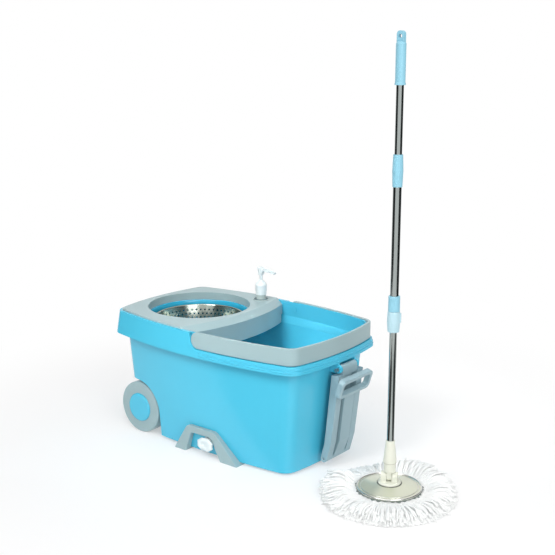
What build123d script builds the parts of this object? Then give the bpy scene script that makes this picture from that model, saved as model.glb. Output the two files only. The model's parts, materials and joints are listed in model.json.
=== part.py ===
"""Spin mop set: a wheeled spin bucket and the mop that stands beside it.

Millimetres, +Z up, floor at Z = 0. The bucket's length runs along X, with its pull handle
at the +X end. Every piece is a separate solid, placed on the planes of its own half of the set.
"""
import os
from math import cos, pi, radians, sin, sqrt
from build123d import *

os.makedirs("parts", exist_ok=True)

# Places of the bucket and the mop on the floor
bucket_x = -155.0
bucket_y = 11.0
mop_from_bucket_x = 462.0
mop_from_bucket_y = -66.0
mop_turn = 25.0

# Tub outline: four arcs with rounded corners
rim_half_length = 269.0
rim_half_width = 148.0
rim_end_bulge = 18.0
rim_side_bulge = 32.0
rim_corner = 29.0
floor_half_length = 237.0
floor_half_width = 126.0
floor_end_bulge = 11.0
floor_side_bulge = 16.0
floor_corner = 30.0
tub_wall = 2.8
tub_floor_wall = 3.2
floor_height = 5.5
rim_height = 304.0
deck_plate = 4.0
flange_depth = 58.0
flange_flare = 7.0
flange_wall = 2.8
wall_recess = 13.0
upper_recess = 6.0

# Wheels and axle
wheel_x = -209.0
wheel_radius = 63.0
wheel_width = 30.0
wheel_face_y = 141.0
wheel_gap = 5.0
cap_radius = 35.0
cap_rise = 5.0
cap_web = 4.0
axle_radius = 5.0
running_gap = 0.08
side_gap = 0.6
clip_radius = 9.0
clip_thickness = 1.6
axle_web_thickness = 5.0
axle_web_y = 98.0

# Deck, spin basket and post
basket_x = -138.0
opening_radius = 124.0
opening_depth = 19.0
deck_skirt_depth = 58.0
deck_edge_x = 16.0
deck_edge_radius = 484.0
deck_wall = 3.0
deck_inset = 5.0
deck_slope_run = 17.0
deck_slope_drop = 13.0
basket_rim_drop = 30.0
basket_top_radius = 108.0
basket_floor_radius = 86.0
basket_depth = 96.0
basket_sheet = 0.9
basket_rim_wire = 3.0
hole_across = 4.8
hole_rows = 5
holes_per_row = 60
hole_row_pitch = 9.4
hole_row_drop = 10.5
floor_holes = 24
hub_radius = 30.0
hub_neck_radius = 16.0
hub_rise = 19.0
hub_flange = 4.0
post_foot_radius = 30.0
post_top_radius = 15.0
post_wall = 3.0
spindle_radius = 6.0
bush_radius = 10.0

# Carry handle
bail_pivot_x = 25.0
bail_end_radius = 19.0
bail_gap = 1.0
bail_thickness = 5.6
bail_proud = 1.0
bail_rim_drop = 1.0
bail_lean_room = 16.0
bail_pin_radius = 4.0
bail_pin_head = 7.0

# Folding pull handle at the end of the tub
pull_y = 12.0
pull_pivot_x = 296.0
pull_pivot_z = 233.0
pull_lug_gap = 56.0
pull_lug_thickness = 5.0
pull_lug_radius = 9.0
pull_pin_radius = 3.0
pull_pin_head = 4.5
pull_pin_reach = 6.0
pull_pin_sink = 3.0
pull_frame_half_width = 46.0
pull_rail_width = 20.0
pull_rail_top = 20.0
pull_rail_low = 17.0
pull_back_x = 287.0
pull_back_low_x = 270.0
pull_top_z = 221.0
pull_web = 4.0
pull_fold_x = 268.0
pull_fold_z = 21.0
pull_boss_radius = 8.0
pull_bend_z = 60.0
pull_arm_half_width = 19.0
pull_arm_thickness = 9.0
grip_half_width = 58.0
grip_height = 46.0
grip_bar = 9.0
grip_thickness = 13.0
grip_lean = 18.0
grip_foot_z = 176.0
grip_edge = 2.0

# Side feet and drain
foot_base_left = -77.0
foot_top_left = -35.0
foot_top_right = 50.0
foot_base_right = 117.0
arch_base_right = 66.0
arch_top_right = 39.0
arch_top_left = -22.0
arch_base_left = -41.0
foot_height = 66.0
foot_arch_height = 49.5
foot_corner = 18.0
foot_arch_corner = 10.0
foot_edge = 3.0
foot_face_y = 158.0
drain_x = 26.0
drain_z = 33.0
drain_bore = 8.0
drain_boss_radius = 13.0
knob_radius = 15.2
knob_sides = 8
knob_depth = 13.0
knob_edge = 2.5
knob_dimple_radius = 5.0
knob_dish = 3.0
seal_thickness = 2.0

# Soap pump on the deck
pump_x = -54.0
pump_y = 135.0
pump_hole_radius = 17.0
bottle_radius = 16.0
bottle_depth = 54.0
bottle_wall = 1.4
bottle_flange_radius = 19.5
bottle_flange = 1.6
bottle_shoulder_radius = 11.6
bottle_shoulder = 11.4
bottle_neck_radius = 10.5
bottle_neck = 12.0
collar_ring_radius = 13.4
collar_ring = 9.0
collar_radius = 14.4
collar_height = 49.0
collar_top_radius = 6.5
pump_stem_radius = 4.0
pump_barrel_radius = 7.0
pump_barrel_depth = 52.0
pump_travel = 12.0
pump_head_radius = 8.0
pump_head_foot = 63.0
pump_head_height = 20.0
nozzle_radius = 4.4
nozzle_reach = 46.0
dip_tube_radius = 2.6

# Mop head
disc_radius = 68.5
disc_edge_z = 21.5
disc_crown_z = 32.0
disc_crown_radius = 26.0
disc_hole_radius = 13.0
disc_sheet = 1.2
yarn_radius = 143.0
yarn_lobes = 22
yarn_edge_height = 16.0
yarn_crown_height = 33.0
yarn_crown_radius = 118.0
yarn_clearance = 2.0
yarn_slope = 14.0
yarn_root_height = 21.0
clip_plate_radius = 46.0
clip_plate_thickness = 3.0
yoke_base_radius = 24.0
yoke_base_height = 4.5
cheek_gap = 11.0
cheek_thickness = 11.7
tilt_z = 47.0
tilt_pin_radius = 3.0
tilt_knuckle_radius = 9.5

# Mop stick
socket_neck_z = 56.4
socket_seam_z = 78.0
socket_top_z = 126.0
socket_sleeve_radius = 12.6
socket_wide_radius = 13.6
socket_top_radius = 9.2
lower_tube_radius = 7.5
tube_wall = 0.7
lower_tube_seat_z = 84.0
lower_tube_top_z = 442.0
middle_tube_radius = 8.6
middle_tube_foot_z = 380.0
middle_tube_top_z = 704.0
upper_tube_radius = 7.5
upper_tube_foot_z = 592.0
collar_foot_z = 360.0
collar_seam_z = 402.0
collar_top_z = 434.0
collar_low_radius = 13.4
collar_high_radius = 11.8
collar_lever_length = 22.0
sleeve_foot_z = 653.0
sleeve_top_z = 716.0
sleeve_radius = 10.9
sleeve_ribs = 6
grip_foot_mop_z = 848.0
mop_top_z = 949.0
mop_grip_radius = 10.0
hang_tab_height = 20.0
hang_hole_radius = 4.0
screw_lead = 120.0
screw_width = 7.0
screw_thickness = 3.0
screw_foot_z = 318.0
screw_top_z = 568.0
plug_length = 12.0
nut_length = 10.0
slot_gap = 0.3
fit_gap = 0.05

# Planes of the two halves of the set
bucket = Plane((bucket_x, bucket_y, 0))
bucket_front = Plane((bucket_x, bucket_y, 0), x_dir=(1, 0, 0), z_dir=(0, -1, 0))
mop_place = (bucket_x + mop_from_bucket_x, bucket_y + mop_from_bucket_y, 0)
mop = Plane(mop_place, x_dir=(cos(radians(mop_turn)), sin(radians(mop_turn)), 0), z_dir=(0, 0, 1))
mop_across = Plane(mop_place, x_dir=mop.y_dir, z_dir=mop.x_dir)

# Heights and sizes that follow from the driving values
flange_z = rim_height - flange_depth
seat_z = rim_height - deck_plate
bail_z = rim_height - bail_rim_drop - bail_end_radius
ledge_z = bail_z - bail_end_radius - bail_gap
basket_top_z = rim_height - basket_rim_drop
basket_floor_z = basket_top_z - basket_depth


def pillow(half_length, half_width, end_bulge, side_bulge, corner, grow=0.0):
    """A rounded rectangle whose four sides bow outward; grow moves all of it outward.

    A corner's centre lies one corner radius inside both the side's arc and the end's arc.
    """
    x = half_length + grow
    y = half_width + grow
    radius = corner + grow
    side_radius = (x * x + side_bulge**2) / (2 * side_bulge)
    end_radius = (y * y + end_bulge**2) / (2 * end_bulge)
    side_centre = Vector(0, y + side_bulge - side_radius)
    end_centre = Vector(x + end_bulge - end_radius, 0)
    between = end_centre - side_centre
    span = between.length
    along = ((side_radius - radius) ** 2 - (end_radius - radius) ** 2 + span**2) / (2 * span)
    off = sqrt((side_radius - radius) ** 2 - along**2)
    way = between.normalized()
    centre = side_centre + way * along + Vector(way.Y, -way.X) * off
    on_side = side_centre + (centre - side_centre).normalized() * side_radius
    on_end = end_centre + (centre - end_centre).normalized() * end_radius
    on_corner = centre + (on_side + on_end - centre * 2).normalized() * radius
    with BuildSketch() as shape:
        with BuildLine():
            ThreePointArc((-on_side.X, -on_side.Y), (0, -y - side_bulge), (on_side.X, -on_side.Y))
            ThreePointArc((on_side.X, -on_side.Y), (on_corner.X, -on_corner.Y), (on_end.X, -on_end.Y))
            ThreePointArc((on_end.X, -on_end.Y), (x + end_bulge, 0), (on_end.X, on_end.Y))
            ThreePointArc((on_end.X, on_end.Y), (on_corner.X, on_corner.Y), (on_side.X, on_side.Y))
            ThreePointArc((on_side.X, on_side.Y), (0, y + side_bulge), (-on_side.X, on_side.Y))
            ThreePointArc((-on_side.X, on_side.Y), (-on_corner.X, on_corner.Y), (-on_end.X, on_end.Y))
            ThreePointArc((-on_end.X, on_end.Y), (-x - end_bulge, 0), (-on_end.X, -on_end.Y))
            ThreePointArc((-on_end.X, -on_end.Y), (-on_corner.X, -on_corner.Y), (-on_side.X, -on_side.Y))
        make_face()
    return shape.sketch


def rim_outline(grow=0.0):
    return pillow(rim_half_length, rim_half_width, rim_end_bulge, rim_side_bulge, rim_corner, grow)


def wall_outline(grow=0.0):
    """The tub wall under the flange, a recess inside the rim."""
    return pillow(
        rim_half_length - wall_recess, rim_half_width - wall_recess,
        rim_end_bulge, rim_side_bulge, rim_corner + wall_recess - 4, grow,
    )


def upper_wall_outline(grow=0.0):
    """The tub wall above the ledge, closer to the rim, that the carry handle lies round."""
    return pillow(
        rim_half_length - upper_recess, rim_half_width - upper_recess,
        rim_end_bulge, rim_side_bulge, rim_corner + upper_recess - 4, grow,
    )


def floor_outline(grow=0.0):
    return pillow(
        floor_half_length, floor_half_width, floor_end_bulge, floor_side_bulge, floor_corner, grow,
    )


def keep(piece, name):
    piece.part.label = name
    export_step(piece.part, f"parts/{name}.step")


# Space that the carry handle folds into: its side view, outside the tub's upper wall
with BuildPart() as handle_recess:
    with BuildSketch(bucket_front):
        with Locations((bail_pivot_x, bail_z)):
            Circle(bail_end_radius + bail_gap)
        with BuildLine():
            Polyline(
                (bail_pivot_x - bail_end_radius - bail_gap, bail_z),
                (bail_pivot_x - bail_end_radius - bail_gap - bail_lean_room, bail_z + flange_depth),
                (bail_pivot_x + 400, bail_z + flange_depth), (bail_pivot_x + 400, ledge_z),
                (bail_pivot_x, ledge_z), (bail_pivot_x, bail_z), close=True,
            )
        make_face()
    extrude(amount=260, both=True)
    with BuildSketch(bucket.offset(flange_z)):
        add(upper_wall_outline())
    extrude(amount=2 * flange_depth, mode=Mode.SUBTRACT)


def wheel_notch(clearance):
    """Side view of the space for the wheels: an arc round them, open to the end and the floor."""
    reach = wheel_radius + wheel_gap - clearance
    with BuildSketch() as notch:
        with Locations((wheel_x, wheel_radius)):
            Circle(reach)
            with Locations((0, reach)):
                Rectangle(200, 2 * reach, align=(Align.MAX, Align.MAX))
            Rectangle(reach, 200, align=(Align.MIN, Align.MAX))
    return notch.sketch


# Hollow of the turned-down flange, shallower where the carry handle's ledge is
with BuildPart() as flange_hollow:
    with BuildSketch(bucket.offset(flange_z)):
        add(rim_outline(flange_flare - flange_wall))
    with BuildSketch(bucket.offset(seat_z - flange_wall)):
        add(rim_outline(-flange_wall))
    loft()
    with BuildSketch(bucket.offset(ledge_z - flange_wall)):
        with Locations((bail_pivot_x - bail_end_radius - bail_gap - flange_wall, 0)):
            Rectangle(400, 600, align=(Align.MIN, Align.CENTER))
    extrude(amount=flange_depth, mode=Mode.SUBTRACT)

# Inside of the tub, one wall in from the outside
with BuildPart() as tub_inside:
    with BuildSketch(bucket.offset(floor_height + tub_floor_wall)):
        add(floor_outline(-tub_wall))
    with BuildSketch(bucket.offset(flange_z)):
        add(wall_outline(-tub_wall))
    loft()
    with BuildSketch(bucket.offset(flange_z)):
        add(wall_outline(-tub_wall))
    with BuildSketch(bucket.offset(ledge_z)):
        add(upper_wall_outline(-tub_wall))
    loft()
    with BuildSketch(bucket.offset(ledge_z)):
        add(upper_wall_outline(-tub_wall))
    extrude(amount=2 * flange_depth)
    with BuildSketch(bucket_front):
        add(wheel_notch(-tub_wall))
    extrude(amount=260, both=True, mode=Mode.SUBTRACT)

def upright(x, y):
    """Vertical plane through (x, y) whose local axes are world X and world Z."""
    return Plane((x, y, 0), x_dir=(1, 0, 0), z_dir=(0, -1, 0))


def turned(x, y, points):
    """A solid of revolution about the upright axis at (x, y), from (radius, height) points."""
    with BuildPart() as shape:
        with BuildSketch(upright(x, y)):
            with BuildLine():
                Polyline(*points, close=True)
            make_face()
        revolve(axis=Axis((x, y, 0), (0, 0, 1)))
    return shape.part


def rod_along_y(x, z, radius, y_from, y_to):
    """A round rod across the bucket, from y_from to y_to, at (x, z) in the bucket's side view."""
    with BuildPart() as rod:
        with BuildSketch(bucket_front.offset(-y_from)):
            with Locations((x, z)):
                Circle(radius)
        extrude(amount=y_from - y_to)
    return rod.part


def tube(x, y, outer, inner, z_from, z_to):
    return turned(x, y, [(inner, z_from), (outer, z_from), (outer, z_to), (inner, z_to)])


# Tub: drafted walls, turned-down flange with a step for the carry handle, notch for the wheels
basket_place_x = bucket_x + basket_x
post_top_z = basket_floor_z - hub_flange - 2.0
inside_floor_z = floor_height + tub_floor_wall
with BuildPart() as tub:
    with BuildSketch(bucket.offset(flange_z)):
        add(rim_outline(flange_flare))
    with BuildSketch(bucket.offset(seat_z)):
        add(rim_outline())
    loft()
    add(flange_hollow.part, mode=Mode.SUBTRACT)
    with BuildSketch(bucket.offset(floor_height)):
        add(floor_outline())
    with BuildSketch(bucket.offset(flange_z)):
        add(wall_outline())
    loft()
    with BuildSketch(bucket.offset(flange_z)):
        add(wall_outline())
    with BuildSketch(bucket.offset(ledge_z)):
        add(upper_wall_outline())
    loft()
    with BuildSketch(bucket.offset(ledge_z)):
        add(upper_wall_outline())
    extrude(amount=seat_z - ledge_z)
    add(handle_recess.part, mode=Mode.SUBTRACT)
    # lugs of the pull handle
    for side in (-1, 1):
        lug_y = pull_y + side * (pull_lug_gap + pull_lug_thickness) / 2
        with BuildSketch(bucket_front.offset(-lug_y)):
            with Locations((pull_pivot_x, pull_pivot_z)):
                Circle(pull_lug_radius)
                Rectangle(40, flange_z - pull_pivot_z, align=(Align.MAX, Align.MIN))
                Rectangle(40, 2 * pull_lug_radius, align=(Align.MAX, Align.CENTER))
        extrude(amount=pull_lug_thickness / 2, both=True)
    with BuildSketch(bucket_front):
        add(wheel_notch(0))
    extrude(amount=260, both=True, mode=Mode.SUBTRACT)
    # boss round the drain
    with BuildSketch(bucket_front.offset(foot_face_y - 8)):
        with Locations((drain_x, drain_z)):
            Circle(drain_boss_radius)
    extrude(amount=-40)
    add(tub_inside.part, mode=Mode.SUBTRACT)
    # hollow post that carries the basket's spindle
    add(turned(basket_place_x, bucket_y, [
        (0, floor_height), (post_foot_radius, floor_height), (post_top_radius, post_top_z), (0, post_top_z),
    ]))
    add(turned(basket_place_x, bucket_y, [
        (0, 0), (post_foot_radius - post_wall, 0),
        (post_top_radius - post_wall, post_top_z - 26), (0, post_top_z - 26),
    ]), mode=Mode.SUBTRACT)
    with BuildSketch(bucket_front):
        add(wheel_notch(0))
    extrude(amount=post_top_radius + post_foot_radius, both=True, mode=Mode.SUBTRACT)
    # webs that carry the axle in the notch
    for side in (-1, 1):
        with BuildSketch(bucket_front.offset(side * axle_web_y)):
            with Locations((wheel_x, wheel_radius)):
                Circle(3 * axle_radius)
                Rectangle(
                    wheel_radius + wheel_gap + tub_wall / 2, 6 * axle_radius, align=(Align.MIN, Align.CENTER),
                )
        extrude(amount=axle_web_thickness / 2, both=True)
    add(rod_along_y(wheel_x, wheel_radius, axle_radius + fit_gap, -200, 200), mode=Mode.SUBTRACT)
    add(rod_along_y(pull_pivot_x, pull_pivot_z, pull_pin_radius + fit_gap, -100, 130), mode=Mode.SUBTRACT)
    add(rod_along_y(bail_pivot_x, bail_z, bail_pin_radius + fit_gap, -260, 260), mode=Mode.SUBTRACT)
    add(rod_along_y(drain_x, drain_z, drain_bore, -200, -60), mode=Mode.SUBTRACT)
    add(turned(basket_place_x, bucket_y, [
        (0, post_top_z - 22), (spindle_radius, post_top_z - 22),
        (spindle_radius, post_top_z + 1), (0, post_top_z + 1),
    ]), mode=Mode.SUBTRACT)
keep(tub, "bucket_tub")

# Deck over the wheel end, with the basket's opening, a sloped edge and a skirt down into the water side
deck_axis_x = bucket_x + deck_edge_x - deck_edge_radius
with BuildPart() as deck_edge:
    add(turned(deck_axis_x, bucket_y, [
        (0, 0), (deck_edge_radius, 0), (deck_edge_radius, rim_height - deck_slope_drop),
        (deck_edge_radius - deck_slope_run, rim_height), (0, rim_height),
    ]))
with BuildPart() as deck_edge_inner:
    add(turned(deck_axis_x, bucket_y, [
        (0, 0), (deck_edge_radius - deck_wall, 0),
        (deck_edge_radius - deck_wall, rim_height - deck_slope_drop - 1),
        (deck_edge_radius - deck_slope_run - deck_wall, seat_z), (0, seat_z),
    ]))
with BuildPart() as deck:
    with BuildSketch(bucket.offset(rim_height - deck_skirt_depth)):
        add(wall_outline(-tub_wall - side_gap))
    extrude(amount=deck_skirt_depth - deck_plate)
    with BuildSketch(bucket.offset(ledge_z + 2)):
        add(upper_wall_outline(-tub_wall - side_gap))
    extrude(amount=seat_z - ledge_z - 2)
    add(deck_edge_inner.part, mode=Mode.SUBTRACT)
    with BuildSketch(bucket.offset(seat_z)):
        add(rim_outline(-deck_inset))
    extrude(amount=deck_plate)
    add(deck_edge.part, mode=Mode.INTERSECT)
    add(tube(basket_place_x, bucket_y, opening_radius + deck_wall, opening_radius,
             rim_height - opening_depth, rim_height))
    add(tube(basket_place_x, bucket_y, opening_radius, 0, 0, 2 * rim_height), mode=Mode.SUBTRACT)
    chamfer(deck.edges().filter_by(GeomType.CIRCLE).group_by(Axis.Z)[-1].sort_by(SortBy.RADIUS)[0], 2)
    add(tube(bucket_x + pump_x, bucket_y + pump_y, pump_hole_radius, 0, 0, 2 * rim_height),
        mode=Mode.SUBTRACT)
keep(deck, "basket_deck")

# Side feet: an arch on each side that carries the tub at the middle of its length
with BuildPart() as tub_outside:
    with BuildSketch(bucket.offset(floor_height - side_gap / 2)):
        add(floor_outline(side_gap / 2))
    with BuildSketch(bucket.offset(flange_z)):
        add(wall_outline(side_gap / 2))
    loft()
for side, name in ((1, "side_foot_front"), (-1, "side_foot_rear")):
    with BuildPart() as foot:
        with BuildSketch(bucket_front.offset(side * foot_face_y)) as arch:
            with BuildLine():
                Polyline(
                    (foot_base_left, 0), (foot_top_left, foot_height),
                    (foot_top_right, foot_height), (foot_base_right, 0),
                    (arch_base_right, 0), (arch_top_right, foot_arch_height),
                    (arch_top_left, foot_arch_height), (arch_base_left, 0), close=True,
                )
            make_face()
            fillet(arch.vertices().group_by(Axis.Y)[1], foot_arch_corner)
            fillet(arch.vertices().group_by(Axis.Y)[-1], foot_corner)
        extrude(amount=-side * (foot_face_y - floor_half_width))
        face = foot.faces().sort_by(Axis.Y)[0 if side > 0 else -1]
        fillet(face.edges().filter_by(lambda edge: edge.center().Z > 1), foot_edge)
        add(tub_outside.part, mode=Mode.SUBTRACT)
    keep(foot, name)

# Wheels on one axle, held by push-on clips under the hub caps
cap_seat = wheel_face_y - cap_web
clip_seat = cap_seat - 6
with BuildPart() as axle:
    add(rod_along_y(wheel_x, wheel_radius, axle_radius, -(clip_seat + 4), clip_seat + 4))
keep(axle, "wheel_axle")
with BuildPart() as clips:
    for side in (-1, 1):
        at = side * (clip_seat + 0.3)
        add(rod_along_y(wheel_x, wheel_radius, clip_radius, min(at, at + side * clip_thickness),
                        max(at, at + side * clip_thickness)))
    add(rod_along_y(wheel_x, wheel_radius, axle_radius, -200, 200), mode=Mode.SUBTRACT)
keep(clips, "axle_clips")


def across(side, radius, inner, outer):
    """A disc about the axle between two distances from the bucket's middle, on one side."""
    ends = sorted((side * inner, side * outer))
    return rod_along_y(wheel_x, wheel_radius, radius, *ends)


web_face = axle_web_y + axle_web_thickness / 2
for side, end in ((-1, "front"), (1, "rear")):
    inner_face = wheel_face_y - wheel_width
    with BuildPart() as wheel:
        add(across(side, wheel_radius, inner_face, wheel_face_y))
        rim_edges = wheel.edges().filter_by(GeomType.CIRCLE)
        fillet(rim_edges, 4)
        add(across(side, wheel_radius - 9, inner_face, inner_face + 18), mode=Mode.SUBTRACT)
        add(across(side, 3 * axle_radius, web_face + side_gap, inner_face + 18))
        add(across(side, cap_radius + fit_gap, cap_seat, wheel_face_y), mode=Mode.SUBTRACT)
        add(across(side, cap_radius - 6, clip_seat, wheel_face_y), mode=Mode.SUBTRACT)
        add(across(side, axle_radius + running_gap, 0, 200), mode=Mode.SUBTRACT)
    keep(wheel, f"wheel_{end}")
    with BuildPart() as cap:
        add(across(side, cap_radius, cap_seat, wheel_face_y + cap_rise))
        fillet(cap.edges().filter_by(GeomType.CIRCLE).sort_by(Axis.Y)[0 if side < 0 else -1], cap_rise)
    keep(cap, f"wheel_cap_{end}")

# Spin basket: perforated steel bowl with a rolled rim, on a hub and bush over the spindle
slope = (basket_top_radius - basket_floor_radius) / basket_depth
row_planes = []
for row in range(hole_rows):
    row_z = basket_top_z - hole_row_drop - row * hole_row_pitch
    row_radius = basket_top_radius - (basket_top_z - row_z) * slope
    for hole in range(holes_per_row):
        angle = 2 * pi * (hole + 0.5 * (row % 2)) / holes_per_row
        out = Vector(cos(angle), sin(angle), 0)
        place = Vector(basket_place_x, bucket_y, row_z) + out * (row_radius + 6)
        row_planes.append(Plane(place, x_dir=(0, 0, 1), z_dir=-out))
with BuildPart() as basket:
    add(turned(basket_place_x, bucket_y, [
        (hub_neck_radius, basket_floor_z), (basket_floor_radius, basket_floor_z),
        (basket_top_radius, basket_top_z), (basket_top_radius - basket_sheet, basket_top_z),
        (basket_floor_radius - basket_sheet, basket_floor_z + basket_sheet),
        (hub_neck_radius, basket_floor_z + basket_sheet),
    ]))
    with BuildSketch(*row_planes):
        RegularPolygon(hole_across / 2, 6)
    extrude(amount=14, mode=Mode.SUBTRACT)
    with BuildSketch(Plane((basket_place_x, bucket_y, basket_floor_z - 2))):
        with PolarLocations((hub_radius + basket_floor_radius) / 2, floor_holes):
            RegularPolygon(hole_across / 2, 6)
    extrude(amount=6, mode=Mode.SUBTRACT)
    with BuildSketch(upright(basket_place_x, bucket_y)):
        with Locations((basket_top_radius + basket_rim_wire - basket_sheet, basket_top_z)):
            Circle(basket_rim_wire)
            Circle(basket_rim_wire - basket_sheet, mode=Mode.SUBTRACT)
    revolve(axis=Axis((basket_place_x, bucket_y, 0), (0, 0, 1)))
keep(basket, "spin_basket")

hub_foot_z = basket_floor_z - hub_flange
hub_top_z = basket_floor_z + hub_rise
bush_foot_z = post_top_z + 0.4
bush_top_z = hub_top_z - 4
with BuildPart() as hub:
    add(turned(basket_place_x, bucket_y, [
        (bush_radius, hub_foot_z), (hub_radius - 4, hub_foot_z), (hub_radius - 4, basket_floor_z),
        (hub_neck_radius, basket_floor_z), (hub_neck_radius, basket_floor_z + basket_sheet),
        (hub_radius, basket_floor_z + basket_sheet), (hub_radius - 6, basket_floor_z + 7),
        (hub_radius - 14, hub_top_z), (0, hub_top_z), (0, bush_top_z), (bush_radius, bush_top_z),
    ]))
keep(hub, "basket_hub")
with BuildPart() as bush:
    add(tube(basket_place_x, bucket_y, bush_radius, spindle_radius + running_gap, bush_foot_z, bush_top_z))
keep(bush, "basket_bush")
with BuildPart() as spindle:
    add(tube(basket_place_x, bucket_y, spindle_radius, 0, post_top_z - 22, bush_top_z - 0.5))
keep(spindle, "basket_spindle")

# Carry handle: a band round the water end, rounded at its two pivots
pivot_wall_y = rim_half_width - upper_recess + rim_side_bulge
pivot_reach = 4.0
bail_edge = 1.2
with BuildPart() as bail:
    with BuildSketch(bucket.offset(bail_z - bail_end_radius)):
        add(rim_outline(bail_proud))
        add(rim_outline(bail_proud - bail_thickness), mode=Mode.SUBTRACT)
    extrude(amount=2 * bail_end_radius)
    with BuildSketch(bucket_front):
        with Locations((bail_pivot_x, bail_z)):
            Circle(bail_end_radius)
            Rectangle(400, 2 * bail_end_radius, align=(Align.MIN, Align.CENTER))
    extrude(amount=260, both=True, mode=Mode.INTERSECT)
    fillet(bail.edges().group_by(Axis.Z)[-1].filter_by(GeomType.CIRCLE), bail_edge)
    for side in (-1, 1):
        ends = sorted((side * (pivot_wall_y - 10), side * (pivot_wall_y + pivot_reach + 0.6)))
        add(rod_along_y(bail_pivot_x, bail_z, bail_pin_radius + running_gap, *ends), mode=Mode.SUBTRACT)
keep(bail, "carry_handle")
with BuildPart() as pivot_pins:
    for side in (-1, 1):
        inner = pivot_wall_y - tub_wall - 3
        ends = sorted((side * inner, side * (pivot_wall_y + pivot_reach)))
        add(rod_along_y(bail_pivot_x, bail_z, bail_pin_radius, *ends))
        head_ends = sorted((side * inner, side * (inner + 2)))
        add(rod_along_y(bail_pivot_x, bail_z, bail_pin_head, *head_ends))
keep(pivot_pins, "handle_pivot_pins")

# Folding pull handle: a frame hung from the lugs, and an arm with a grip folded up in front of it
pull_plane = bucket_front.offset(-pull_y)
front_top_x = pull_back_x + pull_rail_top
front_low_x = pull_back_low_x + pull_rail_low
with BuildPart() as frame:
    for side in (-1, 1):
        with BuildSketch(pull_plane.offset(side * (pull_frame_half_width - pull_rail_width / 2))):
            with BuildLine():
                Polyline(
                    (pull_back_x, pull_top_z), (front_top_x, pull_top_z), (front_low_x, pull_bend_z),
                    (pull_fold_x + pull_boss_radius, pull_fold_z),
                    (pull_fold_x - pull_boss_radius, pull_fold_z),
                    (pull_back_low_x, pull_bend_z), close=True,
                )
            make_face()
            with Locations((pull_fold_x, pull_fold_z)):
                Circle(pull_boss_radius)
        extrude(amount=pull_rail_width / 2, both=True)
    with BuildSketch(pull_plane):
        with BuildLine():
            Polyline(
                (pull_back_x, pull_top_z), (pull_back_x + pull_web, pull_top_z),
                (pull_back_low_x + pull_web, pull_bend_z), (pull_back_low_x, pull_bend_z), close=True,
            )
        make_face()
    extrude(amount=pull_frame_half_width - pull_rail_width / 2, both=True)
    with BuildSketch(pull_plane):
        with Locations((pull_pivot_x, pull_pivot_z)):
            Circle(pull_lug_radius - 1)
            Rectangle(
                2 * pull_lug_radius - 2, pull_pivot_z - pull_top_z + 3, align=(Align.CENTER, Align.MAX),
            )
    extrude(amount=pull_lug_gap / 2 - side_gap, both=True)
    add(rod_along_y(pull_pivot_x, pull_pivot_z, pull_pin_radius + running_gap, -100, 130), mode=Mode.SUBTRACT)
    add(rod_along_y(pull_fold_x, pull_fold_z, pull_pin_radius, -100, 130), mode=Mode.SUBTRACT)
keep(frame, "pull_frame")
lug_reach = pull_lug_gap / 2 + pull_lug_thickness
with BuildPart() as hinge_pin:
    add(rod_along_y(pull_pivot_x, pull_pivot_z, pull_pin_radius,
                    pull_y - lug_reach - pull_pin_reach, pull_y + lug_reach + 2))
    add(rod_along_y(pull_pivot_x, pull_pivot_z, pull_pin_head,
                    pull_y - lug_reach - pull_pin_reach - 4, pull_y - lug_reach - pull_pin_reach))
keep(hinge_pin, "pull_hinge_pin")
with BuildPart() as fold_pin:
    add(rod_along_y(pull_fold_x, pull_fold_z, pull_pin_radius,
                    pull_y - pull_frame_half_width + pull_pin_sink,
                    pull_y + pull_frame_half_width - pull_pin_sink))
keep(fold_pin, "pull_fold_pin")

arm_step = pull_web + 3
grip_share = (grip_foot_z - pull_bend_z) / (pull_top_z - pull_bend_z)
grip_foot_x = front_low_x + (front_top_x - front_low_x) * grip_share
grip_plane = Plane(
    (bucket_x + grip_foot_x + 1, bucket_y + pull_y, grip_foot_z),
    x_dir=(0, 1, 0), z_dir=(cos(radians(grip_lean)), 0, -sin(radians(grip_lean))),
)
with BuildPart() as grip:
    with BuildSketch(grip_plane):
        with Locations((0, grip_height / 2)):
            RectangleRounded(2 * grip_half_width, grip_height, 11)
            RectangleRounded(
                2 * (grip_half_width - grip_bar), grip_height - 2 * grip_bar, 6, mode=Mode.SUBTRACT,
            )
    extrude(amount=grip_thickness)
    fillet(grip.faces().sort_by(Axis((0, 0, 0), grip_plane.z_dir))[-1].edges(), grip_edge)
with BuildPart() as arm:
    with BuildSketch(pull_plane):
        with BuildLine():
            Polyline(
                (front_low_x - pull_arm_thickness + 4, pull_bend_z + 2),
                (grip_foot_x - pull_arm_thickness + 4, grip_foot_z + 2),
                (grip_foot_x + 4, grip_foot_z + 2),
                (front_low_x + 4, pull_bend_z),
                (pull_fold_x + pull_boss_radius, pull_fold_z), (pull_fold_x, pull_fold_z),
                (pull_fold_x, pull_fold_z + pull_boss_radius), close=True,
            )
        make_face()
    extrude(amount=pull_arm_half_width, both=True)
    with BuildSketch(pull_plane):
        with Locations((pull_fold_x, pull_fold_z)):
            Circle(pull_boss_radius)
    extrude(amount=pull_frame_half_width - pull_rail_width - side_gap, both=True)
    add(grip.part)
    add(rod_along_y(pull_fold_x, pull_fold_z, pull_pin_radius + running_gap, -100, 130), mode=Mode.SUBTRACT)
keep(arm, "pull_arm")

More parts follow.
